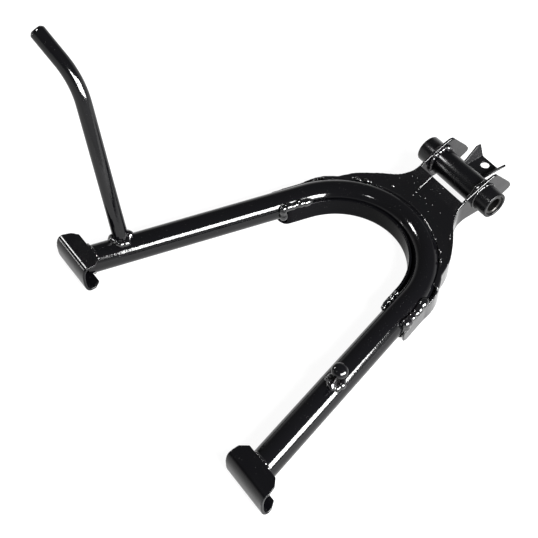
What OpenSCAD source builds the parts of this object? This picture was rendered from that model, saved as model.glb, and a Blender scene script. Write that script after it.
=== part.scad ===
// Welded centre stand of a small motorcycle, lying flat.
// The origin is the middle of the pivot axis. X runs along that axis, Y from the feet
// to the pivot, Z up. The stand lies on the plane Z = -(leg_z + pivot_up).

/* [Leg tube] */
// Outside diameter of the leg tube
tube_d = 25.4; // [20:0.1:32]
// Wall of the leg tube
tube_wall = 2; // [1.2:0.1:3]
// Centreline radius of the crown bend
crown_r = 78; // [74:0.5:84]
// Half distance between the leg centrelines at the shoe edge
foot_half = 129.4; // [124:0.5:140]
// Distance from the pivot axis to the back edge of the shoes
foot_reach = 321.6; // [315:0.5:335]
// Length of the neck, pivot axis to the outer skin of the crown
neck_len = 53.5; // [50:0.1:60]
// Length of tube hidden inside a shoe
tube_in_shoe = 6.5; // [5:0.5:8]

/* [Shoes] */
// Length of a shoe across the stand
shoe_len = 48; // [36:0.5:60]
// Plate thickness of the shoes
shoe_t = 2.6; // [1.6:0.1:3.5]
// Depth of the upper flange, back edge to bend
shoe_flange = 13.2; // [10:0.1:18]
// Depth of the lower flange, back edge to bend
shoe_lower = 9; // [4:0.1:13]
// How far the front face bulges past the bend
shoe_bulge = 7; // [4:0.1:12]
// How far a shoe sits outwards of the middle of its leg
shoe_shift = 2.8; // [0:0.1:4]
// Corner cut of the flanges
shoe_corner = 7; // [3:0.1:11]

/* [Kick bar] */
// Diameter of the bent kick bar
kick_d = 14.2; // [10:0.1:18]
// Distance along the leg from the shoe edge to the bar
kick_at = 29.3; // [25:0.1:45]
// Straight length from the leg axis to the bend corner
kick_len = 162.3; // [120:0.1:190]
// Length from the bend corner to the tip
kick_tip = 53.2; // [40:0.1:80]
// Bend angle of the bar
kick_bend = 29.7; // [10:0.1:45]
// Bend radius of the bar centreline
kick_bend_r = 80; // [40:1:110]
// Chamfer of the tip
kick_chamfer = 2.5; // [1:0.1:4]
// Lean of the bar, three turns about X, Y and Z
kick_lean = [-18.56, -15.48, 39.46];

/* [Spring post] */
// Distance along the leg from the shoe edge to the post
post_at = 92.5; // [60:0.5:120]
// Outward lean of the post
post_lean = 11; // [0:1:25]
// Shank diameter
post_d = 7.5; // [5:0.1:10]
// Head diameter
post_head_d = 14; // [11:0.1:18]
// Height of the head centre over the leg axis
post_h = 34; // [28:0.5:42]

/* [Pivot] */
// Outside diameter of the pivot tube
pivot_d = 26; // [24:0.1:30]
// Bore of the pivot tube
pivot_bore = 20; // [17:0.1:22]
// Length of the pivot tube
pivot_len = 92; // [80:0.5:110]
// Height of the pivot axis over the leg plane
pivot_up = 14.35; // [12:0.05:18]
// Bore of the bushes
bush_bore = 14.2; // [10:0.1:15.5]
// Length of one bush
bush_len = 24; // [10:0.5:30]
// Recess of the bush in the tube end
bush_recess = 1.2; // [0.4:0.1:4]

/* [Bracket] */
// Plate thickness of the bracket pressings
plate_t = 2.6; // [1.8:0.1:3.5]
// Half width over the two ears
ear_half = 30.5; // [28:0.1:36]
// How far the arms reach past the centre of the crown bend
arm_drop = 6.8; // [2:0.1:16]
// Height of the neck web over the leg plane at the slot
web_top = 19.4; // [17:0.1:22]
// Distance from the pivot axis to the edge of the web
web_edge = 24.2; // [20:0.1:27]
// Height of the inner lip over the leg plane
lip_h = 7; // [4:0.1:9]
// Bend radius between the lip and the floor of the plate
lip_bend = 5; // [3.5:0.1:7]
// How far the side flange stands off the crown at most
flange_off = 1.6; // [0.5:0.1:2.5]
// Height of the side flange beside the legs
flange_h = 3; // [1:0.1:6]

/* [Stop bracket] */
// Height of the plate top over the leg plane
stop_up = 10.6; // [8:0.1:13]
// Distance from the pivot axis to the outer edge
stop_reach = 38; // [32:0.1:46]
// Half width of the flat part
stop_half = 11; // [9:0.1:15]
// Height of the flared sides along their slope
stop_side = 12.4; // [7:0.1:16]
// Flare of the sides from upright
stop_flare = 35; // [10:1:45]
// Plate thickness
stop_t = 2.2; // [1.5:0.1:3]
// Hole diameter
stop_hole = 8.5; // [6:0.1:11]

/* [Welds] */
// Length of the beads along the bracket arms
arm_bead_len = 22; // [14:0.5:30]
// Radius of the beads along the bracket arms
arm_bead_r = 3; // [2.2:0.1:3.6]
// Radius of the beads behind the shoes
shoe_bead_r = 2.1; // [1.6:0.1:2.6]
// Leg of the rings round the pivot tube
ear_ring = 3; // [2:0.1:4]
// Radius of the beads on crown, neck and stop bracket
fine_bead_r = 1.5; // [1.2:0.1:2]
// Spread of the kick bar's weld collar
kick_collar = 8.2; // [6:0.1:10]
// Spread of the spring post's weld
post_collar = 6.4; // [4:0.1:8]

/* [Hidden] */
$fn = 96;
gap = 0.1;
thin = 0.05;
// straight runs are this much slimmer than the bends they enter, so that their skins cross
ease = 0.02;
enter = 0.5;
tube_r = tube_d/2;
// height of the leg plane over the floor
leg_z = tube_r + gap + plate_t;
// larger than the whole stand, for cutting
far = 2*foot_reach;
tall = 4*tube_d;
crown_y = -neck_len - tube_r - crown_r;
// the legs leave the crown bend on its tangents
foot_drop = foot_reach + crown_y;
leg_splay = atan2(foot_half, foot_drop) - asin(crown_r/sqrt(pow(foot_half, 2) + pow(foot_drop, 2)));
arm_end = arm_drop - crown_y;
end_y = -foot_reach - tube_in_shoe;
run_len = (crown_y + crown_r*sin(leg_splay) - end_y)/cos(leg_splay);
grip = tube_r + gap;
ear_in = ear_half - plate_t;
pivot_r = pivot_d/2;
bush_r = pivot_bore/2 - thin;

function leg_x(y) = foot_half - (y + foot_reach)*tan(leg_splay);
function mix(a, b, t) = a + (b - a)*t;
// cubic through four points, the usual spline blend
function cr(a, b, c, d, t) = 0.5*((2*b) + (c - a)*t + (2*a - 5*b + 4*c - d)*t*t
  + (3*b - a - 3*c + d)*t*t*t);
function spline(p, n) = [for (i = [0:len(p) - 2], k = [0:n - 1])
  cr(p[max(i - 1, 0)], p[i], p[i + 1], p[min(i + 2, len(p) - 1)], k/n)];

// raises what is drawn round the leg plane into the stand's own frame
module up() translate([0, 0, -pivot_up]) children();

// halves of space, for cutting
module above(z) translate([-far, -far, z]) cube([2*far, 2*far, far]);
module below(z) translate([-far, -far, z - far]) cube([2*far, 2*far, far]);
module in_front(y) translate([-far, y - far, -far]) cube([2*far, far, 2*far]);

// s = 1 is the right leg, s = -1 the left; origin on the leg axis, +Z towards the crown
module on_leg(s, along)
  translate([s*(foot_half - along*sin(leg_splay)), -foot_reach + along*cos(leg_splay), 0])
    rotate([-90, 0, s*leg_splay]) children();
// skin of a leg round the place where something is welded on, and the half below its axis
module leg_skin(s, along) on_leg(s, along - tube_d) cylinder(r = tube_r + thin, h = 2*tube_d);
module leg_under(s, along) on_leg(s, along) translate([-far, 0, -far]) cube(2*far);

// over = how far the runs are carried past the cut ends of the tube
module leg_solid(r, over = 0)
  translate([0, crown_y, 0]) rotate([0, 0, leg_splay]) {
    rotate_extrude(angle = 180 - 2*leg_splay) translate([crown_r, 0]) circle(r = r);
    translate([crown_r, enter, 0]) rotate([90, 0, 0])
      cylinder(r = r - ease, h = run_len + over + enter);
    rotate([0, 0, 180 - 2*leg_splay]) translate([crown_r, -enter, 0]) rotate([-90, 0, 0])
      cylinder(r = r - ease, h = run_len + over + enter);
  }
// one leg's straight run, for cutting what sits against it
module leg_run(s, r)
  translate([s*leg_x(end_y), end_y, 0]) rotate([-90, 0, s*leg_splay])
    cylinder(r = r, h = run_len);

module crown_solid(r)
  translate([0, crown_y, 0]) rotate([0, 0, leg_splay])
    rotate_extrude(angle = 180 - 2*leg_splay) translate([crown_r, 0]) circle(r = r);

module leg_tube() color("black") up() difference() {
  leg_solid(tube_r, $fn = 64);
  leg_solid(tube_r - tube_wall, 2, $fn = 64);
}

// shoes: a plate bent round the tube end, open at both ends
function shoe_curve(h, b, y0) = [for (i = [0:24]) let (a = 90 - i*7.5)
  [y0 - b*pow(abs(cos(a)), 0.8), h*sign(sin(a))*pow(abs(sin(a)), 0.8)]];

module shoe_section() {
  y0 = -foot_reach - shoe_flange;
  h = grip + shoe_t;
  difference() {
    union() {
      polygon(shoe_curve(h, shoe_bulge, y0));
      translate([y0 - 0.5, grip]) square([shoe_flange + 0.5, shoe_t]);
      translate([y0 - 0.5, -h]) square([shoe_lower + 0.5, shoe_t]);
    }
    polygon(concat(shoe_curve(grip, shoe_bulge - shoe_t, y0), [[y0 + tube_d, -grip], [y0 + tube_d, grip]]));
  }
}

module shoe(s) {
  mid = leg_x(-foot_reach - shoe_flange/2) + shoe_shift;
  back = -foot_reach;
  up() intersection() {
    translate([s > 0 ? mid - shoe_len/2 : -mid - shoe_len/2, 0, 0])
      rotate([90, 0, 90]) linear_extrude(shoe_len) shoe_section();
    translate([0, 0, -tall]) linear_extrude(2*tall)
      polygon([for (p = [[mid - shoe_len/2 - 1, back - tall], [mid - shoe_len/2, back - shoe_corner],
        [mid - shoe_len/2 + shoe_corner*0.75, back], [mid + shoe_len/2 - shoe_corner*1.25, back],
        [mid + shoe_len/2 - shoe_corner*0.4, back - shoe_corner*0.75],
        [mid + shoe_len/2, back - shoe_corner*1.8], [mid + shoe_len/2 + 1, back - tall]]) [s*p[0], p[1]]]);
    union() {
      above(0);
      translate([0, 0, -tall]) linear_extrude(tall)
        polygon([for (p = [[mid - shoe_len/2 - 1, back - tall], [mid - shoe_len/2, back - 10],
          [mid - shoe_len/2 + shoe_corner*0.6, back - shoe_flange + shoe_lower],
          [mid + shoe_len/2 - shoe_corner*0.8, back - shoe_flange + shoe_lower],
          [mid + shoe_len/2, back - 11], [mid + shoe_len/2 + 1, back - tall]]) [s*p[0], p[1]]]);
    }
  }
}

module left_shoe() color("black") shoe(-1);
module right_shoe() color("black") shoe(1);

module shoe_top_weld(s) up() difference() {
  translate([s*leg_x(-foot_reach + 1), -foot_reach + 1, 0]) rotate([90, 0, 0])
    rotate([0, 0, 42]) rotate_extrude(angle = 96) translate([tube_r + 0.8, 0]) circle(r = shoe_bead_r);
  leg_run(s, tube_r + thin);
  in_front(-foot_reach + thin);
}
module shoe_under_weld(s) {
  y = -foot_reach - shoe_flange + shoe_lower;
  up() difference() {
    translate([s*leg_x(y + 1), y + 1, 0]) rotate([90, 0, 0])
      rotate([0, 0, 228]) rotate_extrude(angle = 84) translate([tube_r + 0.6, 0])
        circle(r = 0.9*shoe_bead_r);
    leg_run(s, tube_r + thin);
    in_front(y + thin);
  }
}
module left_shoe_top_weld() color("black") shoe_top_weld(-1);
module right_shoe_top_weld() color("black") shoe_top_weld(1);
module left_shoe_under_weld() color("black") shoe_under_weld(-1);
module right_shoe_under_weld() color("black") shoe_under_weld(1);

// kick bar: origin on the left leg axis, bar along local Z, bend towards local -X
module kick_frame() up()
  translate([-(foot_half - kick_at*sin(leg_splay)), -foot_reach + kick_at*cos(leg_splay), 0])
    rotate(kick_lean) children();

module kick_solid(r) {
  cut = kick_bend_r*tan(kick_bend/2);
  cylinder(r = r - ease, h = kick_len - cut + enter);
  translate([-kick_bend_r, 0, kick_len - cut]) rotate([90, 0, 0])
    rotate_extrude(angle = kick_bend) translate([kick_bend_r, 0]) circle(r = r);
  translate([0, 0, kick_len]) rotate([0, -kick_bend, 0]) translate([0, 0, cut - enter]) {
    cylinder(r = r - ease, h = kick_tip - cut + enter - kick_chamfer);
    translate([0, 0, kick_tip - cut + enter - kick_chamfer])
      cylinder(r1 = r - ease, r2 = r - kick_chamfer, h = kick_chamfer);
  }
}

module kick_bar() color("black") difference() {
  kick_frame() kick_solid(kick_d/2);
  up() leg_skin(-1, kick_at);
}

module kick_bar_weld() color("black") difference() {
  kick_frame() translate([0, 0, tube_r/2])
    cylinder(r1 = kick_d/2 + kick_collar, r2 = kick_d/2 + 1.2, h = tube_r/2 + 0.85*kick_collar);
  kick_frame() cylinder(r = kick_d/2 + thin, h = kick_len/2);
  up() leg_skin(-1, kick_at);
  up() leg_under(-1, kick_at);
}

module post_frame() up() on_leg(1, post_at) rotate([90, 0, 0]) rotate([0, post_lean, 0]) children();

module spring_post() color("black") difference() {
  post_frame() {
    rotate_extrude() polygon([[0, 0.63*tube_r], [post_d/2, 0.63*tube_r], [post_d/2, post_h - 5.5],
      [post_d/2 + 0.9, post_h - 4.6], [0, post_h - 4.6]]);
    translate([0, 0, post_h - 5]) cylinder(r1 = post_head_d/2 - 0.9, r2 = post_head_d/2, h = 1.2);
    translate([0, 0, post_h - 3.8]) cylinder(r = post_head_d/2, h = 3.4);
    translate([0, 0, post_h - 0.4]) rotate_extrude() intersection() {
      translate([0, -(post_head_d/2)*0.75]) circle(r = (post_head_d/2)*1.25);
      square([post_head_d/2, 10]);
    }
  }
  up() leg_skin(1, post_at);
}

module spring_post_weld() color("black") difference() {
  post_frame() translate([0, 0, 0.63*tube_r])
    cylinder(r1 = post_d/2 + post_collar, r2 = post_d/2 + 0.25*post_collar,
      h = 0.37*tube_r + 0.86*post_collar);
  post_frame() cylinder(r = post_d/2 + thin, h = post_h);
  up() leg_skin(1, post_at);
  up() leg_under(1, post_at);
}

// pivot tube along X with a bush in each end
module at_pivot() up() translate([0, 0, pivot_up]) rotate([0, 90, 0]) children();

module pivot_tube() color("black") at_pivot() difference() {
  cylinder(r = pivot_r, h = pivot_len, center = true);
  cylinder(r = pivot_bore/2, h = pivot_len + 2, center = true);
}

module bush(s) at_pivot() translate([0, 0, s*(pivot_len/2 - bush_recess - bush_len/2)]) difference() {
  cylinder(r = bush_r, h = bush_len, center = true);
  cylinder(r = bush_bore/2, h = bush_len + 2, center = true);
}
module left_bush() color("dimgray") bush(-1);
module right_bush() color("dimgray") bush(1);

// plan outline of the bracket, right half, from the arm end up to the ear
wall_r = crown_r + grip + plate_t;
// the wall stands off the bend between the arm and the angle where it leaves the crown
leave = 38;
leave_p = [wall_r*cos(leave), crown_y + wall_r*sin(leave)];
ear_p = [ear_half, -web_edge - 1.8];
function between(fx, fy) = [mix(ear_p[0], leave_p[0], fx), mix(ear_p[1], leave_p[1], fy)];
half_outline = concat(
  [[leg_x(-arm_end - 40) + (grip + plate_t)/cos(leg_splay), -arm_end - 40]],
  [for (i = [0:8]) let (a = mix(leg_splay, leave, i/8), r = wall_r + flange_off*sin(22.5*i))
    [r*cos(a), crown_y + r*sin(a)]],
  spline([leave_p, between(0.83, 0.745), between(0.6, 0.545), between(0.375, 0.39),
    between(0.175, 0.265), between(0.03, 0.1), ear_p], 5),
  [ear_p, [ear_half, 2*pivot_d]]);
module plan() polygon(concat(half_outline, [for (i = [len(half_outline) - 1:-1:0])
  [-half_outline[i][0], half_outline[i][1]]]));

// side view of the flanges, heights over the leg plane
low = -leg_z;
// Y along the bend, as a share of its radius, and along the neck, as a share of its free length
function on_crown(f) = crown_y + f*crown_r;
function on_neck(f) = mix(-neck_len, -web_edge, f);
// height of the web where it lies on the crown
web_in = 0.63*tube_r;
side_top = [[-arm_end, -4], [-arm_end + 1.5, flange_h - 2], [-arm_end + 5, flange_h],
  [on_crown(0.36), flange_h + 0.6], [on_crown(0.59), flange_h + 3.2],
  [on_crown(0.82), flange_h + 4.8], [on_crown(1.08), flange_h + 6],
  [on_neck(0.256), flange_h + 8.2], [on_neck(0.666), web_top - 4.4], [-web_edge, web_top],
  [3.7 - web_edge, web_top + 2.8], [-4.5, web_top + 9.8], [6, web_top + 13.6],
  [10.5, web_top + 14.6], [14.5, web_top + 13.6]];
side_low = [[33.3, 12.2], [36.4, 7.6], [36.8, 5.2], [35.6, 2.8], [29.5, 0], [22, -3.6], [14, -5],
  [4.2 - web_edge, -5], [on_neck(0.87), -8], [on_neck(0.563), low], [-arm_end + 6, low],
  [-arm_end + 2, low + 2.2]];

module neck_channel() color("black") up() difference() {
  union() {
    intersection() {
      translate([0, 0, -tall]) linear_extrude(2*tall) difference() {
        plan();
        offset(delta = -plate_t) plan();
      }
      across() polygon(concat(side_top, side_low));
    }
    intersection() {
      translate([0, 0, -tall]) linear_extrude(2*tall) offset(delta = -plate_t/2) plan();
      across()
        polygon(concat(web_line(0), [for (i = [len(web_line(0)) - 1:-1:0]) web_line(plate_t)[i]]));
    }
  }
  crown_solid(tube_r + thin);
  translate([0, crown_y, -tall]) cylinder(r = crown_r + 0.3*tube_r, h = 2*tall);
  for (s = [1, -1]) leg_run(s, tube_r + thin);
  at_pivot_local() cylinder(r = pivot_r + thin, h = far, center = true);
}
module at_pivot_local() translate([0, 0, pivot_up]) rotate([0, 90, 0]) children();
// draws a side view through the whole width
module across() translate([-far, 0, 0]) rotate([90, 0, 90]) linear_extrude(2*far) children();
function web_line(d) = [[on_crown(0.566), web_in - d], [on_neck(-0.358), web_in - d],
  [on_neck(-0.085), 1.1*web_in - d], [on_neck(0.256), flange_h + 8.1 - d],
  [on_neck(0.666), web_top - 4.5 - d], [-web_edge, web_top - d]];

// saddle plate: horseshoe under the crown with an upturned inner lip
// e = how much the section is drawn in all round
module saddle_half_section(e = 0) {
  out = grip + plate_t;
  difference() {
    union() {
      translate([lip_bend - out, low + e]) square([out - lip_bend + grip - 0.6 - e, plate_t - 2*e]);
      translate([lip_bend - out, low + lip_bend]) intersection() {
        circle(r = lip_bend - e);
        translate([-lip_bend, -lip_bend]) square([lip_bend, lip_bend]);
      }
      translate([e - out, low + lip_bend]) square([plate_t - 2*e, lip_h - low - lip_bend - e]);
    }
    translate([lip_bend - out, low + lip_bend]) circle(r = lip_bend - plate_t + e);
  }
}

module saddle_run(s) {
  h = (crown_y + crown_r*sin(leg_splay) + arm_end)/cos(leg_splay) + 4;
  y0 = -arm_end - 4*cos(leg_splay);
  translate([s*leg_x(y0), y0, 0]) rotate([90, 0, s*leg_splay]) rotate([0, s > 0 ? 0 : 180, 0])
    translate([0, 0, s > 0 ? -h - enter : 0]) linear_extrude(h + enter) saddle_half_section(ease);
}

module saddle_plate() color("black") up() difference() {
  union() {
    for (s = [1, -1]) saddle_run(s);
    translate([0, crown_y, 0]) rotate([0, 0, leg_splay])
      rotate_extrude(angle = 180 - 2*leg_splay) translate([crown_r, 0]) saddle_half_section();
    intersection() {
      translate([0, 0, low]) linear_extrude(plate_t) offset(delta = -plate_t - thin) plan();
      difference() {
        translate([-far, on_crown(0.385), low - 1])
          cube([2*far, on_neck(0.529) - on_crown(0.385), plate_t + 2]);
        translate([0, crown_y, low - 2]) cylinder(r = crown_r, h = plate_t + 4);
      }
    }
  }
  for (s = [1, -1]) translate([s*leg_x(-arm_end), -arm_end, 0]) rotate([0, 0, s*leg_splay])
    arm_round();
}

// rounds the end of an arm in plan
arm_r = grip + plate_t + 1.1;
module arm_round() translate([0, 0, -tall]) linear_extrude(2*tall) difference() {
  translate([-2*arm_r, -1.2*arm_r]) square([4*arm_r, 2.05*arm_r]);
  translate([0, 0.85*arm_r]) circle(r = arm_r);
}

// stop bracket: flat plate behind the pivot tube with flared sides
module stop_bracket() color("black") up() difference() {
  union() {
    translate([-stop_half, 2, stop_up - stop_t]) cube([2*stop_half, stop_reach - 2, stop_t]);
    for (s = [1, -1]) translate([s*stop_half, 0, stop_up - stop_t]) rotate([0, s*stop_flare, 0])
      rotate([90, 0, 90]) translate([0, 0, s > 0 ? -stop_t : 0]) linear_extrude(stop_t)
        polygon([[8, 0], [stop_reach, 0], [stop_reach + 2, stop_side],
          [stop_reach - 3, stop_side], [0.55*stop_reach, 0.55*stop_side], [8, 0.2*stop_side]]);
  }
  translate([0, stop_reach - 6.5, 0]) cylinder(d = stop_hole, h = tall);
  at_pivot_local() cylinder(r = pivot_r + thin, h = far, center = true);
  in_front(4);
}

module stop_bracket_weld() color("black") up() difference() {
  translate([0, sqrt(pow(pivot_r, 2) - pow(pivot_up - stop_up, 2)) + 0.6, stop_up + 0.2])
    rotate([0, 90, 0]) cylinder(r = 1.33*fine_bead_r, h = 2*stop_half - 5, center = true, $fn = 24);
  at_pivot_local() cylinder(r = pivot_r + thin, h = far, center = true);
  below(stop_up + thin);
}

// beads along the arm ends
module bead(s, side, along, len, r, z) on_leg(s, along)
  translate([side*(grip - 0.6)*s, -z, 0]) {
    cylinder(r = r, h = len, $fn = 24);
    sphere(r = r, $fn = 24);
    translate([0, 0, len]) sphere(r = r, $fn = 24);
  }
arm_along = (foot_reach - arm_end)/cos(leg_splay);
module outer_arm_weld(s) up() difference() {
  bead(s, 1, arm_along + 6, arm_bead_len, arm_bead_r, flange_h + 0.8*arm_bead_r);
  leg_solid(tube_r + thin);
  translate([0, 0, -tall]) linear_extrude(tall + flange_h + 0.8) plan();
}
module inner_arm_weld(s) up() difference() {
  bead(s, -1, arm_along + 4, arm_bead_len - 1, 0.87*arm_bead_r, lip_h + 0.4*arm_bead_r);
  leg_solid(tube_r + thin);
  below(lip_h + thin);
}
module left_inner_arm_weld() color("black") inner_arm_weld(-1);
module right_inner_arm_weld() color("black") inner_arm_weld(1);
module left_outer_arm_weld() color("black") outer_arm_weld(-1);
module right_outer_arm_weld() color("black") outer_arm_weld(1);

module ring(x, dir) at_pivot() translate([0, 0, x]) difference() {
  cylinder(r1 = pivot_r + (dir > 0 ? ear_ring : 0.6), r2 = pivot_r + (dir > 0 ? 0.6 : ear_ring),
    h = ear_ring);
  translate([0, 0, -1]) cylinder(r = pivot_r + thin, h = ear_ring + 2);
}
module right_ear_outer_weld() color("black") ring(ear_half + thin, 1);
module right_ear_inner_weld() color("black") ring(ear_in - ear_ring - thin, -1);
module left_ear_inner_weld() color("black") ring(-ear_in + thin, 1);
module left_ear_outer_weld() color("black") ring(-ear_half - ear_ring - thin, -1);

// bead where the neck web meets the crown
module crown_weld() color("black") up() difference() {
  translate([0, crown_y, web_in + 0.4*fine_bead_r]) rotate([0, 0, 62]) rotate_extrude(angle = 56)
    translate([crown_r + 0.82*tube_r, 0]) circle(r = fine_bead_r);
  crown_solid(tube_r + thin);
  below(web_in + 0.6*fine_bead_r);
  across() polygon(concat(web_line(-thin), [[far, -tall], [-far, -tall]]));
}

// short bead across the web
module neck_bead() color("black") up() difference() {
  translate([0, crown_y, mix(flange_h + 8.1, web_top - 4.5, 0.4) - 0.68*fine_bead_r])
    rotate([0, 0, 78]) rotate_extrude(angle = 28, $fn = 720)
      translate([crown_r + tube_r + 0.42*(neck_len - web_edge), 0])
        circle(r = 1.07*fine_bead_r, $fn = 48);
  across() polygon(concat(web_line(-thin), [[-web_edge, -tall], [on_crown(0.566), -tall]]));
}

leg_tube();
left_shoe();
right_shoe();
left_shoe_top_weld();
right_shoe_top_weld();
left_shoe_under_weld();
right_shoe_under_weld();
kick_bar();
kick_bar_weld();
spring_post();
spring_post_weld();
neck_channel();
saddle_plate();
pivot_tube();
left_bush();
right_bush();
stop_bracket();
stop_bracket_weld();
left_inner_arm_weld();
right_inner_arm_weld();
left_outer_arm_weld();
right_outer_arm_weld();
left_ear_outer_weld();
right_ear_outer_weld();
left_ear_inner_weld();
right_ear_inner_weld();
crown_weld();
neck_bead();
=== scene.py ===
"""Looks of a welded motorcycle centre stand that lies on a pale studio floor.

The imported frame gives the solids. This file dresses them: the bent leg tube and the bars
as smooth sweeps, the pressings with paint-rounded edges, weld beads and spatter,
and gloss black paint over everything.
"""

from __future__ import annotations

import logging
import math
import random
from dataclasses import dataclass, field
from enum import Enum

import bpy
from mathutils import Matrix, Vector


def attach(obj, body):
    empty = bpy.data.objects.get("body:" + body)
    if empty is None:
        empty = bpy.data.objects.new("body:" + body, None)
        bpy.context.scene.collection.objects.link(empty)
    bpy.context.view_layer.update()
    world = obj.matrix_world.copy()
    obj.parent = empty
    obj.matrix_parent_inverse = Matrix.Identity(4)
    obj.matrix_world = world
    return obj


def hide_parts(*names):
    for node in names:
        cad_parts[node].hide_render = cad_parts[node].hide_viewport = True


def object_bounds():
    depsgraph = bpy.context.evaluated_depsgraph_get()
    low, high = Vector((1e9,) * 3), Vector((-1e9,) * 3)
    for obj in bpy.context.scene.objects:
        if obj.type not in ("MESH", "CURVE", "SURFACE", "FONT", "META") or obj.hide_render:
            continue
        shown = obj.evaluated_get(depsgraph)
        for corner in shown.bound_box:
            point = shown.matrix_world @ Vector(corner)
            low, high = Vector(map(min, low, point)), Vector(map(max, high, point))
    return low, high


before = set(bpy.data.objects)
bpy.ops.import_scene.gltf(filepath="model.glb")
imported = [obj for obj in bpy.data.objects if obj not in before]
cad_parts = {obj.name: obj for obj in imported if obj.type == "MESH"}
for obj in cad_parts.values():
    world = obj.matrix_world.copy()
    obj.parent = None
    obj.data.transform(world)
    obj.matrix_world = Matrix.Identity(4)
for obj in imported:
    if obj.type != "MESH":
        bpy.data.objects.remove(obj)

log = logging.getLogger("centre_stand")
CAD_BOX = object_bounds()
BODY = "root"
MM = 0.001


class Slot(Enum):
    """Names of material slots of the record, passed along with the new pieces."""

    PAINT = "frame_paint"
    WELD = "weld_paint"
    BUSH = "bush_steel"


class Side(Enum):
    """The two legs, with the sign of their X."""

    LEFT = -1
    RIGHT = 1


# Layout shared by the pieces


@dataclass(frozen=True)
class StandLayout:
    """Driving sizes of the stand in metres, in the frame of the pivot axis."""

    tube_radius: float = 12.7 * MM
    tube_wall: float = 2.0 * MM
    crown_radius: float = 78.0 * MM
    neck: float = 53.5 * MM
    foot_half: float = 129.4 * MM
    foot_reach: float = 321.6 * MM
    tube_in_shoe: float = 6.5 * MM
    plane_z: float = -14.35 * MM
    pivot_radius: float = 13.0 * MM
    ear_half: float = 30.5 * MM
    plate: float = 2.6 * MM
    arm_end: float = 151.0 * MM

    @property
    def crown_y(self) -> float:
        """Y of the centre of the crown bend."""
        return -(self.neck + self.tube_radius + self.crown_radius)

    @property
    def splay(self) -> float:
        """Angle of a leg to the middle plane: the legs leave the bend on its tangents."""
        drop = self.foot_reach + self.crown_y
        span = math.hypot(self.foot_half, drop)
        return math.atan2(self.foot_half, drop) - math.asin(self.crown_radius / span)

    @property
    def crown_centre(self) -> Vector:
        """Centre of the crown bend."""
        return Vector((0.0, self.crown_y, self.plane_z))

    @property
    def arm_along(self) -> float:
        """Distance along a leg from the shoe edge to the end of the bracket arms."""
        return (self.foot_reach - self.arm_end) / math.cos(self.splay)

    def leg_axis(self, side: Side) -> Vector:
        """Unit vector along a leg towards the crown.

        Args:
            side: The leg.

        Returns:
            The direction in the leg plane.
        """
        return Vector((-side.value * math.sin(self.splay), math.cos(self.splay), 0.0))

    def leg_point(self, side: Side, along: float) -> Vector:
        """Point on a leg's centreline.

        Args:
            side: The leg.
            along: Distance from the shoe edge towards the crown.

        Returns:
            The point in the stand's frame.
        """
        foot = Vector((side.value * self.foot_half, -self.foot_reach, self.plane_z))
        return foot + self.leg_axis(side) * along

    def leg_outward(self, side: Side) -> Vector:
        """Unit vector in the leg plane, square to the leg and away from the other leg."""
        return Vector((side.value * math.cos(self.splay), math.sin(self.splay), 0.0))

    def crown_point(self, radius: float, degrees: float, height: float) -> Vector:
        """Point on an arc round the crown centre.

        Args:
            radius: Distance from the crown centre.
            degrees: Angle from +X.
            height: Height over the leg plane.

        Returns:
            The point in the stand's frame.
        """
        turn = math.radians(degrees)
        return self.crown_centre + Vector((radius * math.cos(turn), radius * math.sin(turn), height))


LAYOUT = StandLayout()


# Small modelling tools


def deselect() -> None:
    """Leaves nothing selected, because operators act on all that is."""
    if bpy.context.object and bpy.context.object.mode != "OBJECT":
        bpy.ops.object.mode_set(mode="OBJECT")
    bpy.ops.object.select_all(action="DESELECT")


def make_active(piece: bpy.types.Object) -> None:
    """Selects one object alone and makes it active.

    Args:
        piece: The object.
    """
    deselect()
    piece.select_set(True)
    bpy.context.view_layer.objects.active = piece


def settle(piece: bpy.types.Object) -> None:
    """Moves an object's place into its mesh.

    Args:
        piece: The object.
    """
    make_active(piece)
    bpy.ops.object.transform_apply(location=True, rotation=True, scale=True)


def clean_normals(piece: bpy.types.Object) -> None:
    """Merges doubles and turns the faces outwards.

    Args:
        piece: A closed mesh.
    """
    make_active(piece)
    bpy.ops.object.mode_set(mode="EDIT")
    bpy.ops.mesh.select_all(action="SELECT")
    bpy.ops.mesh.remove_doubles(threshold=1e-6)
    bpy.ops.mesh.normals_make_consistent(inside=False)
    bpy.ops.object.mode_set(mode="OBJECT")


def apply_modifier(piece: bpy.types.Object, kind: str, **settings: object) -> None:
    """Adds a modifier with its settings and applies it.

    Args:
        piece: The object.
        kind: Blender's name of the modifier type.
        settings: Attributes of the modifier.
    """
    make_active(piece)
    modifier = piece.modifiers.new(kind.title(), kind)
    for name, value in settings.items():
        setattr(modifier, name, value)
    bpy.ops.object.modifier_apply(modifier=modifier.name)


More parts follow.
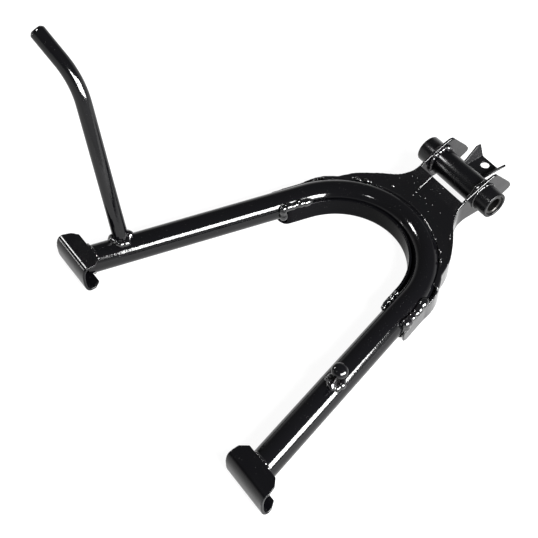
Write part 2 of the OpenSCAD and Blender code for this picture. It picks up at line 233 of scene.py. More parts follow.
def turned(name: str, base: Vector, axis: Vector, profile: list[tuple[float, float]],
           segments: int = 64, ring: bool = False) -> bpy.types.Object:
    """Turns a profile round an axis, ring by ring, as on a lathe.

    Args:
        name: Name of the new object.
        base: Point on the axis where heights start.
        axis: Direction of the axis.
        profile: Height and radius of each ring in order.
        segments: Corners of a ring.
        ring: True to join the last ring to the first, False to cap both ends.

    Returns:
        The closed object with its place in its mesh.
    """
    deselect()
    aim = axis.normalized()
    height, radius = profile[0]
    bpy.ops.mesh.primitive_circle_add(
        vertices=segments, radius=radius, fill_type="NOTHING" if ring else "NGON",
        location=base + aim * height, rotation=aim.to_track_quat("Z", "Y").to_euler())
    piece = bpy.context.object
    piece.name = name
    settle(piece)
    bpy.ops.object.mode_set(mode="EDIT")
    bpy.ops.mesh.select_all(action="SELECT")
    for next_height, next_radius in profile[1:]:
        bpy.ops.mesh.extrude_region_move(
            TRANSFORM_OT_translate={"value": aim * (next_height - height)})
        scale = next_radius / radius
        bpy.ops.transform.resize(value=(scale,) * 3, center_override=base + aim * next_height)
        height, radius = next_height, next_radius
    if ring:
        bpy.ops.mesh.extrude_region_move(
            TRANSFORM_OT_translate={"value": aim * (profile[0][0] - height)})
        scale = profile[0][1] / radius
        bpy.ops.transform.resize(value=(scale,) * 3, center_override=base + aim * profile[0][0])
    bpy.ops.object.mode_set(mode="OBJECT")
    clean_normals(piece)
    return piece


def bead_of_blobs(name: str, places: list[tuple[Vector, float]], voxel: float,
                  rounds: int = 22) -> bpy.types.Object:
    """Melts a row of balls into one lumpy bead.

    Args:
        name: Name of the new object.
        places: Centre and radius of each ball.
        voxel: Size of the voxels that melt them.
        rounds: Smoothing rounds.

    Returns:
        The closed bead.
    """
    balls = []
    deselect()
    bpy.ops.mesh.primitive_ico_sphere_add(subdivisions=2, radius=1.0)
    pattern = bpy.context.object
    for centre, radius in places:
        ball = pattern.copy()
        ball.data = pattern.data.copy()
        ball.data.transform(Matrix.Translation(centre) @ Matrix.Scale(radius, 4))
        bpy.context.scene.collection.objects.link(ball)
        balls.append(ball)
    bpy.data.objects.remove(pattern)
    deselect()
    for ball in balls:
        ball.select_set(True)
    bpy.context.view_layer.objects.active = balls[0]
    bpy.ops.object.join()
    bead = bpy.context.object
    bead.name = name
    settle(bead)
    apply_modifier(bead, "REMESH", mode="VOXEL", voxel_size=voxel, use_smooth_shade=True)
    apply_modifier(bead, "SMOOTH", factor=0.5, iterations=rounds)
    return bead


def softened_copy(node: str, name: str, voxel: float, rounds: int) -> bpy.types.Object:
    """Copies a CAD node and rounds its edges as thick paint does.

    Args:
        node: The CAD node.
        name: Name of the new object.
        voxel: Size of the voxels that rebuild the surface.
        rounds: Smoothing rounds.

    Returns:
        The closed copy.
    """
    deselect()
    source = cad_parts[node]
    piece = bpy.data.objects.new(name, source.data.copy())
    bpy.context.scene.collection.objects.link(piece)
    piece.data.materials.clear()
    clean_normals(piece)
    apply_modifier(piece, "REMESH", mode="VOXEL", voxel_size=voxel, use_smooth_shade=True)
    apply_modifier(piece, "SMOOTH", factor=0.5, iterations=rounds)
    return piece


def hand_over(piece: bpy.types.Object, material: bpy.types.Material, slot: Slot,
              *nodes: str) -> bpy.types.Object:
    """Dresses a finished piece, hangs it on the body and hides the CAD nodes that it stands for.

    Args:
        piece: The finished object.
        material: Its paint or metal.
        slot: The record's slot of that finish; not used.
        nodes: CAD nodes that the piece stands for.

    Returns:
        The same object.
    """
    piece.data.materials.clear()
    piece.data.materials.append(material)
    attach(piece, BODY)
    if nodes:
        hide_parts(*nodes)
    log.info("%s: %d faces", piece.name, len(piece.data.polygons))
    return piece


# Finishes


class NodeDesk:
    """A material's node tree with short ways to add and join nodes."""

    def __init__(self, name: str) -> None:
        """Starts a material with only its output and a Principled shader.

        Args:
            name: Name of the material.
        """
        self.material = bpy.data.materials.new(name)
        self.material.use_nodes = True
        self.tree = self.material.node_tree
        self.shader = self.tree.nodes["Principled BSDF"]

    def add(self, kind: str, **settings: object) -> bpy.types.Node:
        """Adds a node and sets its attributes.

        Args:
            kind: Blender's type name.
            settings: Attributes of the node.

        Returns:
            The node.
        """
        node = self.tree.nodes.new(kind)
        for name, value in settings.items():
            setattr(node, name, value)
        return node

    def join(self, source: bpy.types.NodeSocket, target: bpy.types.NodeSocket) -> None:
        """Links two sockets.

        Args:
            source: The output.
            target: The input.
        """
        self.tree.links.new(source, target)

    def place(self) -> bpy.types.NodeSocket:
        """Gives the object's own coordinates.

        Returns:
            The coordinates in metres.
        """
        return self.add("ShaderNodeTexCoord").outputs["Object"]

    def noise(self, scale: float, detail: float = 2.0, rough: float = 0.5) -> bpy.types.NodeSocket:
        """Adds a noise that follows the object's own coordinates.

        Args:
            scale: Waves in a metre.
            detail: Octaves.
            rough: Share of the fine octaves.

        Returns:
            The noise's value.
        """
        node = self.add("ShaderNodeTexNoise")
        node.inputs["Scale"].default_value = scale
        node.inputs["Detail"].default_value = detail
        node.inputs["Roughness"].default_value = rough
        self.join(self.place(), node.inputs["Vector"])
        return node.outputs["Fac"]

    def dots(self, scale: float) -> bpy.types.NodeSocket:
        """Adds cells and gives the distance from each cell's seed.

        Args:
            scale: Cells in a metre.

        Returns:
            The distance.
        """
        node = self.add("ShaderNodeTexVoronoi")
        node.inputs["Scale"].default_value = scale
        self.join(self.place(), node.inputs["Vector"])
        return node.outputs["Distance"]

    def ramp(self, value: bpy.types.NodeSocket, low: float, high: float, start: float,
             end: float) -> bpy.types.NodeSocket:
        """Maps a value from one range to another and clamps it.

        Args:
            value: The input.
            low: Value that gives start.
            high: Value that gives end.
            start: Result at low.
            end: Result at high.

        Returns:
            The mapped value.
        """
        node = self.add("ShaderNodeMapRange")
        self.join(value, node.inputs["Value"])
        for socket, number in zip(("From Min", "From Max", "To Min", "To Max"),
                                  (low, high, start, end)):
            node.inputs[socket].default_value = number
        return node.outputs["Result"]

    def multiply(self, first: bpy.types.NodeSocket,
                 second: bpy.types.NodeSocket) -> bpy.types.NodeSocket:
        """Multiplies two values.

        Args:
            first: One value.
            second: The other.

        Returns:
            Their product.
        """
        node = self.add("ShaderNodeMath", operation="MULTIPLY")
        self.join(first, node.inputs[0])
        self.join(second, node.inputs[1])
        return node.outputs["Value"]

    def blend(self, amount: bpy.types.NodeSocket, dark: tuple[float, float, float],
              light: tuple[float, float, float]) -> bpy.types.NodeSocket:
        """Mixes two colours.

        Args:
            amount: 0 gives dark and 1 gives light.
            dark: The first colour.
            light: The second colour.

        Returns:
            The mixed colour.
        """
        node = self.add("ShaderNodeMix", data_type="RGBA")
        self.join(amount, node.inputs["Factor"])
        node.inputs[6].default_value = (*dark, 1.0)
        node.inputs[7].default_value = (*light, 1.0)
        return node.outputs[2]

    def bump(self, height: bpy.types.NodeSocket, depth: float,
             below: bpy.types.NodeSocket | None = None) -> bpy.types.NodeSocket:
        """Adds a relief.

        Args:
            height: The relief from 0 to 1.
            depth: Its depth in metres.
            below: The normal of a relief that this one lies on.

        Returns:
            The normal.
        """
        node = self.add("ShaderNodeBump")
        node.inputs["Distance"].default_value = depth
        self.join(height, node.inputs["Height"])
        if below is not None:
            self.join(below, node.inputs["Normal"])
        return node.outputs["Normal"]


@dataclass(frozen=True)
class GlossPaint:
    """Black enamel sprayed over steel: orange peel, slow waves, dust nibs and dull patches."""

    name: str
    black: tuple[float, float, float] = (0.0011, 0.0011, 0.0014)
    dust: tuple[float, float, float] = (0.10, 0.098, 0.095)
    gloss: float = 0.07
    dull: float = 0.17
    peel: float = 0.05 * MM
    wave: float = 0.13 * MM
    nib: float = 0.14 * MM
    haze: float = 0.10
    coat: float = 0.085
    coat_gloss: float = 0.04
    coat_density: float = 3.0
    dust_share: float = 0.45
    nib_cells: float = 260.0
    speck_cells: float = 520.0
    patch_waves: float = 38.0
    slow_waves: float = 55.0
    peel_waves: float = 520.0

    def material(self) -> bpy.types.Material:
        """Builds the finish.

        Returns:
            The material.
        """
        desk = NodeDesk(self.name)
        shader = desk.shader.inputs
        nibs = desk.ramp(desk.dots(self.nib_cells), 0.02, 0.16, 1.0, 0.0)
        sparse = desk.ramp(desk.noise(70.0, 3.0), 0.55, 0.68, 0.0, 1.0)
        nibs = desk.multiply(nibs, sparse)
        specks = desk.ramp(desk.dots(self.speck_cells), 0.0, 0.14, self.dust_share, 0.0)
        specks = desk.multiply(specks, desk.ramp(desk.noise(120.0, 2.0), 0.5, 0.62, 0.0, 1.0))
        colour = desk.blend(specks, self.black, self.dust)
        patches = desk.noise(self.patch_waves, 4.0, 0.6)
        rough = desk.ramp(patches, 0.35, 0.7, self.gloss, self.dull)
        desk.join(colour, shader["Base Color"])
        desk.join(rough, shader["Roughness"])
        normal = desk.bump(desk.noise(self.slow_waves, 1.0), self.wave)
        normal = desk.bump(desk.noise(self.peel_waves, 2.0), self.peel, normal)
        normal = desk.bump(nibs, self.nib, normal)
        desk.join(normal, shader["Normal"])
        desk.join(normal, shader["Coat Normal"])
        shader["Specular IOR Level"].default_value = self.haze
        shader["Coat Weight"].default_value = self.coat
        shader["Coat Roughness"].default_value = self.coat_gloss
        shader["Coat IOR"].default_value = self.coat_density
        return desk.material


@dataclass(frozen=True)
class TurnedSteel:
    """Dark oiled steel with fine turning marks round the X axis."""

    name: str
    dark: tuple[float, float, float] = (0.012, 0.012, 0.012)
    light: tuple[float, float, float] = (0.06, 0.058, 0.055)
    polish: float = 0.28
    grime: float = 0.55
    mark: float = 0.03 * MM
    marks_a_metre: float = 900.0

    def material(self) -> bpy.types.Material:
        """Builds the finish.

        Returns:
            The material.
        """
        desk = NodeDesk(self.name)
        shader = desk.shader.inputs
        patches = desk.noise(180.0, 4.0, 0.65)
        desk.join(desk.blend(desk.ramp(patches, 0.3, 0.7, 0.0, 1.0), self.dark, self.light),
                  shader["Base Color"])
        desk.join(desk.ramp(patches, 0.3, 0.75, self.grime, self.polish), shader["Roughness"])
        rings = desk.add("ShaderNodeTexWave", wave_type="RINGS", rings_direction="X")
        rings.inputs["Scale"].default_value = self.marks_a_metre
        rings.inputs["Distortion"].default_value = 1.5
        desk.join(desk.place(), rings.inputs["Vector"])
        desk.join(desk.bump(rings.outputs["Fac"], self.mark), shader["Normal"])
        shader["Metallic"].default_value = 1.0
        return desk.material


# Sub-assemblies


@dataclass
class LegTube:
    """One tube bent into both legs and the crown."""

    paint: bpy.types.Material
    corners: int = 96
    bend_steps: int = 72

    def build(self) -> bpy.types.Object:
        """Extrudes a ring up the left leg, spins it round the crown and runs it down the right.

        Returns:
            The tube with its wall.
        """
        start = LAYOUT.leg_point(Side.LEFT, -LAYOUT.tube_in_shoe / math.cos(LAYOUT.splay))
        up_leg = LAYOUT.leg_axis(Side.LEFT)
        bend_start = LAYOUT.crown_point(LAYOUT.crown_radius, 180 - math.degrees(LAYOUT.splay), 0.0)
        run = (bend_start - start).length
        deselect()
        bpy.ops.mesh.primitive_circle_add(
            vertices=self.corners, radius=LAYOUT.tube_radius, location=start,
            rotation=up_leg.to_track_quat("Z", "Y").to_euler())
        tube = bpy.context.object
        tube.name = "bent_leg_tube"
        settle(tube)
        bpy.ops.object.mode_set(mode="EDIT")
        bpy.ops.mesh.select_all(action="SELECT")
        bpy.ops.mesh.extrude_region_move(TRANSFORM_OT_translate={"value": up_leg * run})
        bpy.ops.mesh.spin(steps=self.bend_steps, angle=math.pi - 2 * LAYOUT.splay,
                          center=LAYOUT.crown_centre, axis=(0.0, 0.0, 1.0))
        down_leg = -LAYOUT.leg_axis(Side.RIGHT)
        bpy.ops.mesh.extrude_region_move(TRANSFORM_OT_translate={"value": down_leg * run})
        bpy.ops.object.mode_set(mode="OBJECT")
        clean_normals(tube)
        apply_modifier(tube, "SOLIDIFY", thickness=LAYOUT.tube_wall, offset=-1.0)
        make_active(tube)
        bpy.ops.object.shade_smooth_by_angle(angle=math.radians(40))
        return hand_over(tube, self.paint, Slot.PAINT, "leg_tube")


@dataclass
class KickBar:
    """Bent solid bar that stands up from the left leg, with its weld collar."""

    paint: bpy.types.Material
    weld: bpy.types.Material
    radius: float = 7.1 * MM
    along: float = 29.3 * MM
    length: float = 162.3 * MM
    tip: float = 53.2 * MM
    bend: float = math.radians(29.7)
    bend_radius: float = 80.0 * MM
    chamfer: float = 2.5 * MM
    lean: tuple[float, float, float] = (-18.56, -15.48, 39.46)
    collar_balls: int = 17
    seed: int = 4

    def place(self) -> Matrix:
        """Frame of the bar: origin on the leg axis, bar along local Z, bend towards -X."""
        turn = Matrix.Identity(4)
        for degrees, axis in zip(self.lean, "XYZ"):
            turn = Matrix.Rotation(math.radians(degrees), 4, axis) @ turn
        return Matrix.Translation(LAYOUT.leg_point(Side.LEFT, self.along)) @ turn

    def build(self) -> bpy.types.Object:
        """Extrudes, spins and caps the bar, then lays the collar.

        Returns:
            The bar.
        """
        cut = self.bend_radius * math.tan(self.bend / 2)
        place = self.place()
        origin = place.translation
        turn = place.to_3x3()
        up = turn @ Vector((0.0, 0.0, 1.0))
        hub = place @ Vector((-self.bend_radius, 0.0, self.length - cut))
        hinge = turn @ Vector((0.0, -1.0, 0.0))
        deselect()
        bpy.ops.mesh.primitive_circle_add(vertices=64, radius=self.radius, location=origin,
                                          fill_type="NGON",
                                          rotation=up.to_track_quat("Z", "Y").to_euler())
        bar = bpy.context.object
        bar.name = "bent_kick_bar"
        settle(bar)
        bpy.ops.object.mode_set(mode="EDIT")
        bpy.ops.mesh.select_all(action="SELECT")
        bpy.ops.mesh.extrude_region_move(
            TRANSFORM_OT_translate={"value": up * (self.length - cut)})
        bpy.ops.mesh.spin(steps=28, angle=self.bend, center=hub, axis=-hinge)
        lean_out = Matrix.Rotation(self.bend, 3, hinge) @ up
        end = place @ Vector((0.0, 0.0, self.length)) + lean_out * (self.tip - self.chamfer)
        bpy.ops.mesh.extrude_region_move(
            TRANSFORM_OT_translate={"value": lean_out * (self.tip - self.chamfer - cut)})
        bpy.ops.mesh.extrude_region_move(
            TRANSFORM_OT_translate={"value": lean_out * self.chamfer})
        scale = 1 - self.chamfer / self.radius
        bpy.ops.transform.resize(value=(scale,) * 3,
                                 center_override=end + lean_out * self.chamfer)
        bpy.ops.object.mode_set(mode="OBJECT")
        clean_normals(bar)
        apply_modifier(bar, "BEVEL", width=0.7 * MM, segments=3, limit_method="ANGLE",
                       angle_limit=math.radians(30))
        make_active(bar)
        bpy.ops.object.shade_smooth_by_angle(angle=math.radians(35))
        self.lay_collar(place)
        return hand_over(bar, self.paint, Slot.PAINT, "kick_bar")

    def lay_collar(self, place: Matrix) -> None:
        """Lays the weld round the foot of the bar.

        Args:
            place: Frame of the bar.
        """
        balls = saddle_ring(place, self.radius + 1.2 * MM, Side.LEFT, self.collar_balls)
        draw = random.Random(self.seed)
        lumps = [(point + wobble(draw, 1.1 * MM), draw.uniform(3.0, 5.0) * MM) for point in balls]
        collar = bead_of_blobs("kick_bar_weld_bead", lumps, 0.4 * MM)
        hand_over(collar, self.weld, Slot.WELD, "kick_bar_weld")


def wobble(draw: random.Random, reach: float) -> Vector:
    """Gives a small random step.

    Args:
        draw: Seeded source of the numbers.
        reach: Largest step along each axis.

    Returns:
        The step.
    """
    return Vector((draw.uniform(-reach, reach), draw.uniform(-reach, reach),
                   draw.uniform(-reach, reach)))


def saddle_ring(place: Matrix, radius: float, side: Side, count: int) -> list[Vector]:
    """Points where a round bar meets the skin of a leg.

    Args:
        place: Frame of the bar, which starts on the leg axis and runs along local Z.
        radius: Radius of the bar.
        side: The leg.
        count: Number of points.

    Returns:
        The points round the foot of the bar.
    """
    axis = LAYOUT.leg_axis(side)
    origin = place.translation
    up = place.to_3x3() @ Vector((0.0, 0.0, 1.0))
    points = []
    for index in range(count):
        turn = 2 * math.pi * index / count
        edge = place.to_3x3() @ Vector((radius * math.cos(turn), radius * math.sin(turn), 0.0))
        across = edge - axis * edge.dot(axis)
        climb = up - axis * up.dot(axis)
        half = across.dot(climb) / climb.length_squared
        rest = (across.length_squared - LAYOUT.tube_radius ** 2) / climb.length_squared
        height = -half + math.sqrt(max(half * half - rest, 0.0))
        points.append(origin + edge + up * height)
    return points


@dataclass
class SpringPost:
    """Post with a domed head on the right leg, with its weld."""

    paint: bpy.types.Material
    weld: bpy.types.Material
    along: float = 92.5 * MM
    lean: float = math.radians(11.0)
    shank: float = 3.75 * MM
    head: float = 7.0 * MM
    height: float = 34.0 * MM
    seed: int = 11

    def place(self) -> Matrix:
        """Frame of the post: origin on the leg axis, post along local Z."""
        outward = LAYOUT.leg_outward(Side.RIGHT)
        aim = Vector((0.0, 0.0, math.cos(self.lean))) + outward * math.sin(self.lean)
        base = LAYOUT.leg_point(Side.RIGHT, self.along)
        return Matrix.Translation(base) @ aim.to_track_quat("Z", "Y").to_matrix().to_4x4()

    def build(self) -> bpy.types.Object:
        """Turns the post and lays its weld.

        Returns:
            The post.
        """
        place = self.place()
        up = place.to_3x3() @ Vector((0.0, 0.0, 1.0))
        neck = self.height - 5.6 * MM
        middle = self.height - 1.4 * MM
        ball = [(middle + 4.6 * MM * math.sin(turn), self.head * math.cos(turn) ** 0.85)
                for turn in (math.radians(angle) for angle in range(-56, 88, 6))]
        profile = [(8.0 * MM, self.shank), (neck - 0.4 * MM, self.shank), *ball]
        post = turned("spring_post_turned", place.translation, up, profile, 64)
        make_active(post)
        bpy.ops.object.shade_smooth_by_angle(angle=math.radians(50))
        self.lay_weld(place)
        return hand_over(post, self.paint, Slot.PAINT, "spring_post")

    def lay_weld(self, place: Matrix) -> None:
        """Lays the lumpy weld round the foot of the post.

        Args:
            place: Frame of the post.
        """
        draw = random.Random(self.seed)
        ring = saddle_ring(place, self.shank + 2.0 * MM, Side.RIGHT, 9)
        lumps = [(point + wobble(draw, 1.0 * MM), draw.uniform(3.1, 4.6) * MM) for point in ring]
        bead = bead_of_blobs("spring_post_weld_bead", lumps, 0.4 * MM)
        hand_over(bead, self.weld, Slot.WELD, "spring_post_weld")


@dataclass
class PivotTube:
    """Pivot tube across the ears, with a bush in each end."""

    paint: bpy.types.Material
    steel: bpy.types.Material
    half: float = 46.0 * MM
    bore: float = 10.0 * MM
    bush_bore: float = 7.1 * MM
    bush_length: float = 24.0 * MM
    recess: float = 1.2 * MM
    edge: float = 0.8 * MM

    def build(self) -> None:
        """Turns the tube and both bushes."""
        across = Vector((1.0, 0.0, 0.0))
        outer = LAYOUT.pivot_radius
        round_off, chamfer = self.edge * 0.3, self.edge * 0.5
        half = [(self.half - self.edge, outer), (self.half - round_off, outer - round_off),
                (self.half, outer - self.edge), (self.half, self.bore + chamfer),
                (self.half - chamfer, self.bore)]
        profile = half + [(-along, radius) for along, radius in reversed(half)]
        tube = turned("pivot_tube_turned", Vector(), across, profile, 96, ring=True)
        make_active(tube)
        bpy.ops.object.shade_smooth_by_angle(angle=math.radians(50))
        hand_over(tube, self.paint, Slot.PAINT, "pivot_tube")
        for side in Side:
            self.bush(side, across)

    def bush(self, side: Side, across: Vector) -> None:
        """Turns one bush.

        Args:
            side: The end of the tube.
            across: Direction of the pivot axis.
        """
        outer = self.bore - 0.05 * MM
        far = self.half - self.recess
        near = far - self.bush_length
        profile = [(near, outer), (far - 0.6 * MM, outer), (far, outer - 0.6 * MM),
                   (far, self.bush_bore + 0.7 * MM), (far - 0.7 * MM, self.bush_bore),
                   (near, self.bush_bore)]
        word = side.name.lower()
        bush = turned(f"{word}_bush_turned", Vector(), across * side.value, profile, 96, ring=True)
        make_active(bush)
        bpy.ops.object.shade_smooth_by_angle(angle=math.radians(35))
        hand_over(bush, self.steel, Slot.BUSH, f"{word}_bush")


@dataclass
class Pressings:
    """Bracket, shoes and stop bracket: plate with edges rounded by thick paint."""

    paint: bpy.types.Material
    voxels: dict[str, float] = field(default_factory=lambda: {
        "neck_channel": 0.7 * MM, "saddle_plate": 0.7 * MM, "stop_bracket": 0.45 * MM,
        "left_shoe": 0.5 * MM, "right_shoe": 0.5 * MM})
    rounds: int = 6
    other_paint: dict[str, bpy.types.Material] = field(default_factory=dict)

    def build(self) -> None:
        """Makes each pressing from its own node."""
        for node, voxel in self.voxels.items():
            piece = softened_copy(node, f"{node}_pressed", voxel, self.rounds)
            hand_over(piece, self.other_paint.get(node, self.paint), Slot.PAINT, node)


@dataclass(frozen=True)
class ArmBead:
    """Place and size in millimetres of the bead along an arm."""

    away: float
    height: float
    first: float
    length: float
    radius: float
    down: float


@dataclass
class NeckTraces:
    """Crease of the neck web and the drops of spatter round it."""

    weld: bpy.types.Material
    crease_x: float = -12.7 * MM
    seed: int = 5
    drops: tuple[tuple[float, float, float], ...] = (
        (-27.2, -35.9, 0.9), (-22.2, -34.2, 0.7), (-20.1, -39.5, 0.8), (-11.4, -44.3, 1.1),
        (-10.9, -48.2, 1.0), (-12.4, -41.0, 0.9), (-5.0, -44.5, 0.7), (-0.6, -42.8, 0.9),
        (4.5, -46.0, 0.7), (9.6, -43.2, 0.8), (21.2, -43.7, 0.6), (-20.9, -50.5, 0.6),
        (-31.5, -54.8, 1.8), (12.0, -50.0, 0.6), (-3.0, -33.0, 0.5), (6.0, -31.0, 0.5))

    def web_height(self, y: float) -> float:
        """Height of the neck web.

        Args:
            y: Place along the stand.

        Returns:
            Z of the web's upper face.
        """
        line = ((-59.0, -6.35), (-56.0, -5.55), (-46.0, -3.25), (-34.0, 0.55), (-24.2, 5.05))
        for (y0, z0), (y1, z1) in zip(line, line[1:]):
            if y / MM <= y1:
                return (z0 + (z1 - z0) * max(0.0, (y / MM - y0) / (y1 - y0))) * MM
        return line[-1][1] * MM

    def build(self) -> None:
        """Lays the crease as a low ridge and scatters the drops."""
        ridge = []
        for index in range(40):
            y = (-25.5 - 13.5 * index / 39) * MM
            ridge.append((Vector((self.crease_x, y, self.web_height(y) - 0.35 * MM)), 0.75 * MM))
        hand_over(bead_of_blobs("neck_crease", ridge, 0.3 * MM, 4), self.weld, Slot.PAINT)
        lumps = [(Vector((x * MM, y * MM, self.web_height(y * MM) - 0.15 * size * MM)), size * MM)
                 for x, y, size in self.drops]
        hand_over(bead_of_blobs("neck_spatter", lumps, 0.25 * MM, 2), self.weld, Slot.WELD)


@dataclass
class WeldSeams:
    """Beads of shoes, arms, ears, crown, neck and stop bracket."""

    weld: bpy.types.Material
    voxel: float = 0.4 * MM
    seed: int = 23

    def row(self, name: str, path: list[Vector], radius: float, loose: float,
            swell: float) -> None:
        """Lays one bead along a path.

        Args:
            name: Name of the bead, or of the CAD node that it stands for.
            path: Points of the path.
            radius: Mean radius of the lumps.
            loose: Largest side step of a lump.
            swell: Share by which the lumps differ in size.
        """
        draw = random.Random(f"{self.seed}{name}")
        lumps = [(point + wobble(draw, loose), radius * draw.uniform(1 - swell, 1 + swell))
                 for point in path]
        bead = bead_of_blobs(f"{name}_bead", lumps, self.voxel)
        nodes = [name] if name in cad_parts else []
        hand_over(bead, self.weld, Slot.WELD, *nodes)

    def line(self, start: Vector, end: Vector, pitch: float) -> list[Vector]:
        """Points a pitch apart on a straight line.

        Args:
            start: First point.
            end: Last point.
            pitch: Distance between points.

        Returns:
            The points.
        """
        count = max(2, round((end - start).length / pitch))
        return [start.lerp(end, index / count) for index in range(count + 1)]

    def build(self) -> None:
        """Lays every bead."""
        for side in Side:
            self.shoe_beads(side)
            self.arm_beads(side)
            self.ear_beads(side)
        crown = [LAYOUT.crown_point(88.4 * MM, angle * 0.8, 8.2 * MM) for angle in range(79, 147)]
        self.row("crown_weld", crown, 1.3 * MM, 0.04 * MM, 0.03)
        self.row("neck_bead", [LAYOUT.crown_point(103.0 * MM, angle, 11.6 * MM)
                               for angle in range(79, 106, 3)], 0.9 * MM, 1.0 * MM, 0.5)
        knots = [LAYOUT.crown_point(90.0 * MM, angle, 8.6 * MM)
                 for angle in (46, 48, 54, 55, 122, 124, 126, 129, 131, 133)]
        self.row("crown_knots", knots, 1.7 * MM, 0.8 * MM, 0.35)
        self.row("stop_bracket_weld", self.line(Vector((-8.0, 13.1, -3.4)) * MM,
                                                Vector((8.0, 13.1, -3.4)) * MM, 1.2 * MM),
                 1.9 * MM, 0.3 * MM, 0.15)

    def shoe_beads(self, side: Side) -> None:
        """Lays the beads between a leg and its shoe, above and below.

        Args:
            side: The leg.
        """
        word = side.name.lower()
        for name, first, last, step_in, radius in (
                ("top", 44, 136, 1.0 * MM, 1.7 * MM), ("under", 230, 310, -3.2 * MM, 1.6 * MM)):
            centre = LAYOUT.leg_point(side, step_in)
            reach = LAYOUT.tube_radius + 0.6 * MM
            path = [centre + Vector((reach * math.cos(math.radians(angle)), 0.0,
                                     reach * math.sin(math.radians(angle))))
                    for angle in range(first, last, 5)]
            self.row(f"{word}_shoe_{name}_weld", path, radius, 0.25 * MM, 0.12)

    def arm_beads(self, side: Side) -> None:
        """Lays the beads at the ends of the bracket arms.

        Args:
            side: The leg.
        """
        word = side.name.lower()
        outward = LAYOUT.leg_outward(side)
        shapes = {
            (Side.RIGHT, "outer"): ArmBead(12.6, 6.6, 1.0, 31.0, 4.1, 8.0),
            (Side.LEFT, "outer"): ArmBead(12.0, 1.8, 5.0, 24.0, 1.7, 0.0),
            (Side.RIGHT, "inner"): ArmBead(-12.2, 7.0, 4.0, 19.0, 2.2, 0.0),
            (Side.LEFT, "inner"): ArmBead(-12.4, 7.6, 1.5, 26.0, 3.7, 9.0)}
        for name in ("outer", "inner"):
            shape = shapes[side, name]
            start = LAYOUT.leg_point(side, LAYOUT.arm_along + shape.first * MM)
            start += outward * shape.away * MM
            start.z += shape.height * MM
            end = start + LAYOUT.leg_axis(side) * shape.length * MM
            path = self.line(start, end, 2.2 * MM)
            if shape.down > 0.0:
                foot = start + outward * math.copysign(1.2 * MM, shape.away)
                foot.z -= shape.down * MM
                path += self.line(start, foot, 2.2 * MM)
            self.row(f"{word}_{name}_arm_weld", path, shape.radius * MM,
                     0.2 * shape.radius * MM, 0.22)

    def ear_beads(self, side: Side) -> None:
        """Lays the rings between the pivot tube and an ear.

        Args:
            side: The ear.
        """
        word = side.name.lower()
        for name, offset, reach, radius, loose, step in (
                ("outer", LAYOUT.ear_half + 0.4 * MM, 0.4 * MM, 1.2 * MM, 0.15 * MM, 4),
                ("inner", LAYOUT.ear_half - LAYOUT.plate - 1.1 * MM, 0.6 * MM, 2.3 * MM,
                 0.4 * MM, 8)):
            around = LAYOUT.pivot_radius + reach
            ring = [Vector((side.value * offset, around * math.cos(math.radians(angle)),
                            around * math.sin(math.radians(angle)))) for angle in range(0, 360, step)]
            self.row(f"{word}_ear_{name}_weld", ring, radius, loose, 0.18)


# Studio


@dataclass(frozen=True)
class SoftBox:
    """A rectangular lamp between two end points, turned towards the stand."""

    name: str
    first: tuple[float, float, float]
    last: tuple[float, float, float]
    depth: float
    glow: float

    def build(self, target: Vector) -> None:
        """Hangs the lamp.

        Args:
            target: Point that it faces.
        """
        first, last = Vector(self.first), Vector(self.last)
        length = (last - first).length
        lamp = bpy.data.lights.new(self.name, "AREA")
        lamp.shape = "RECTANGLE"
        lamp.size = length
        lamp.size_y = self.depth
        lamp.energy = self.glow * length * self.depth * math.pi
        holder = bpy.data.objects.new(self.name, lamp)
        bpy.context.scene.collection.objects.link(holder)
        middle = (first + last) / 2
        along = (last - first).normalized()
        back = (middle - target).normalized()
        back = (back - along * back.dot(along)).normalized()
        up = back.cross(along)
        turn = Matrix((along, up, back)).transposed().to_4x4()
        holder.matrix_world = Matrix.Translation(middle) @ turn
        holder.visible_camera = False


def direction(azimuth: float, elevation: float) -> Vector:
    """Unit vector from a compass angle and a height.

    Args:
        azimuth: Degrees from +Y towards +X.
        elevation: Degrees above the floor.

    Returns:
        The direction.
    """
    turn, rise = math.radians(azimuth), math.radians(elevation)
    return Vector((math.sin(turn) * math.cos(rise), math.cos(turn) * math.cos(rise), math.sin(rise)))


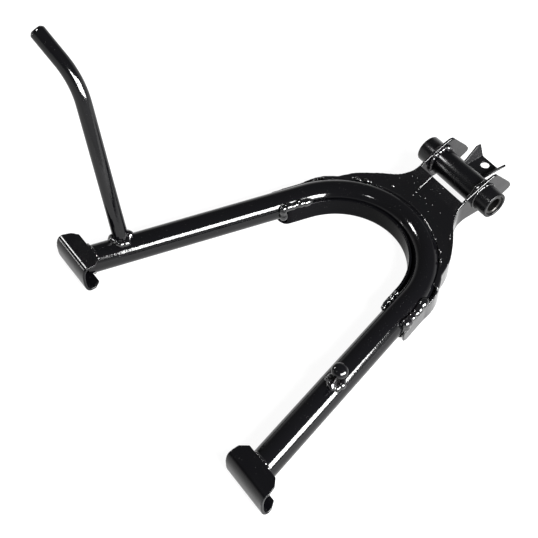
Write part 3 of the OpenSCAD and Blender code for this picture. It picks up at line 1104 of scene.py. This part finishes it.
@dataclass(frozen=True)
class Studio:
    """Camera, lamps, floor and surroundings."""

    camera_place: tuple[float, float, float] = (0.46790, -0.54733, 0.75107)
    camera_aim: tuple[float, float, float] = (-0.50698, 0.35507, -0.78543)
    camera_roll: float = -1.10
    camera_lens: float = 73.47
    centre: tuple[float, float, float] = (0.0, -0.17, -0.01)
    floor_half: float = 12.0
    floor_white: float = 0.14
    floor_glow: float = 0.88
    zenith: float = 0.14
    horizon: float = 1.0

    def camera(self) -> None:
        """Stands the camera at the photo's place, aim and field of view."""
        data = bpy.data.cameras.new("photo_camera")
        data.lens = self.camera_lens
        data.sensor_width = 36.0
        data.sensor_fit = "HORIZONTAL"
        holder = bpy.data.objects.new("photo_camera", data)
        bpy.context.scene.collection.objects.link(holder)
        turn = Vector(self.camera_aim).to_track_quat("-Z", "Y").to_matrix().to_4x4()
        roll = Matrix.Rotation(math.radians(self.camera_roll), 4, "Z")
        holder.matrix_world = Matrix.Translation(self.camera_place) @ turn @ roll
        bpy.context.scene.camera = holder

    def lamps(self) -> None:
        """Hangs the lamps."""
        target = Vector(self.centre)
        band_high = target + direction(106.0, 35.0) * 1.4
        band_low = target + direction(49.0, 21.0) * 1.4
        key = target + direction(-108.0, 46.0) * 1.5
        wide = Vector((0.13, 0.0, 0.0))
        side = Vector((0.06, 0.0, 0.0))
        low = target + direction(-141.0, 12.0) * 1.5
        top = target + direction(178.0, 62.0) * 1.5
        for box in (
                SoftBox("window_band", tuple(band_high), tuple(band_low), 0.52, 60.0),
                SoftBox("key_box", tuple(key - wide), tuple(key + wide), 0.30, 60.0),
                SoftBox("low_box", tuple(low - side), tuple(low + side), 0.30, 22.0),
                SoftBox("top_box", tuple(top - side), tuple(top + side), 0.12, 40.0)):
            box.build(target)

    def floor(self) -> None:
        """Lays the pale floor under the stand."""
        deselect()
        bpy.ops.mesh.primitive_plane_add(size=2 * self.floor_half,
                                         location=(0.0, 0.0, CAD_BOX[0].z - 0.0002))
        floor = bpy.context.object
        floor.name = "studio_floor"
        desk = NodeDesk("floor_white")
        desk.tree.nodes.remove(desk.shader)
        diffuse = desk.add("ShaderNodeBsdfDiffuse")
        diffuse.inputs["Color"].default_value = (self.floor_white,) * 3 + (1.0,)
        glow = desk.add("ShaderNodeEmission")
        path = desk.add("ShaderNodeLightPath")
        seen = desk.add("ShaderNodeMath", operation="MAXIMUM")
        desk.join(path.outputs["Is Camera Ray"], seen.inputs[0])
        desk.join(path.outputs["Is Glossy Ray"], seen.inputs[1])
        either = desk.add("ShaderNodeMath", operation="MAXIMUM")
        desk.join(seen.outputs[0], either.inputs[0])
        desk.join(path.outputs["Is Transmission Ray"], either.inputs[1])
        strength = desk.add("ShaderNodeMath", operation="MULTIPLY")
        strength.inputs[1].default_value = self.floor_glow
        desk.join(either.outputs[0], strength.inputs[0])
        desk.join(strength.outputs[0], glow.inputs["Strength"])
        both = desk.add("ShaderNodeAddShader")
        desk.join(diffuse.outputs[0], both.inputs[0])
        desk.join(glow.outputs[0], both.inputs[1])
        desk.join(both.outputs[0], desk.tree.nodes["Material Output"].inputs["Surface"])
        floor.data.materials.append(desk.material)

    def surroundings(self) -> None:
        """Makes the room: white at the horizon and dark overhead."""
        world = bpy.data.worlds.new("studio_room")
        bpy.context.scene.world = world
        world.use_nodes = True
        tree = world.node_tree
        place = tree.nodes.new("ShaderNodeTexCoord")
        split = tree.nodes.new("ShaderNodeSeparateXYZ")
        fade = tree.nodes.new("ShaderNodeMapRange")
        fade.interpolation_type = "SMOOTHSTEP"
        for socket, number in zip(("From Min", "From Max", "To Min", "To Max"),
                                  (0.02, 0.42, self.horizon, self.zenith)):
            fade.inputs[socket].default_value = number
        tree.links.new(place.outputs["Generated"], split.inputs["Vector"])
        tree.links.new(split.outputs["Z"], fade.inputs["Value"])
        tree.links.new(fade.outputs["Result"], tree.nodes["Background"].inputs["Color"])
        tree.nodes["Background"].inputs["Strength"].default_value = 1.0

    def build(self) -> None:
        """Sets the view and lights the floor."""
        settings = bpy.context.scene.view_settings
        settings.view_transform = "Standard"
        self.lamps()
        self.floor()
        self.surroundings()


def main() -> None:
    """Builds the pieces in order."""
    logging.basicConfig(level=logging.INFO, format="%(name)s %(message)s")
    studio = Studio()
    studio.camera()
    paint = GlossPaint("gloss_black_enamel").material()
    plate_paint = GlossPaint("gloss_black_on_plate", gloss=0.16, dull=0.28, wave=0.25 * MM,
                             coat=0.05, coat_gloss=0.07).material()
    neck_paint = GlossPaint("gloss_black_on_neck", gloss=0.08, dull=0.16, wave=0.5 * MM,
                            haze=0.5, coat=0.0).material()
    pivot_paint = GlossPaint("dusty_black_on_pivot", gloss=0.2, dull=0.34, haze=0.14,
                             coat=0.03, coat_gloss=0.13, dust_share=0.9).material()
    stop_paint = GlossPaint("dusty_black_on_stop", black=(0.003, 0.003, 0.0034), gloss=0.22,
                            dull=0.34, haze=0.05, coat=0.02).material()
    saddle_paint = GlossPaint("gloss_black_on_saddle", gloss=0.2, dull=0.3, wave=0.25 * MM,
                              haze=0.02, coat=0.012, coat_gloss=0.08).material()
    weld = GlossPaint("gloss_black_on_weld", gloss=0.05, dull=0.12, wave=0.2 * MM,
                      peel=0.02 * MM, haze=0.2, coat=0.2, coat_gloss=0.03,
                      dust_share=0.3).material()
    steel = TurnedSteel("oiled_bush_steel").material()
    LegTube(paint).build()
    KickBar(paint, weld).build()
    SpringPost(paint, weld).build()
    PivotTube(pivot_paint, steel).build()
    Pressings(plate_paint, other_paint={"neck_channel": neck_paint,
                                        "saddle_plate": saddle_paint,
                                        "stop_bracket": stop_paint}).build()
    WeldSeams(weld).build()
    NeckTraces(weld).build()
    studio.build()
    deselect()


if __name__ == "__main__":
    main()
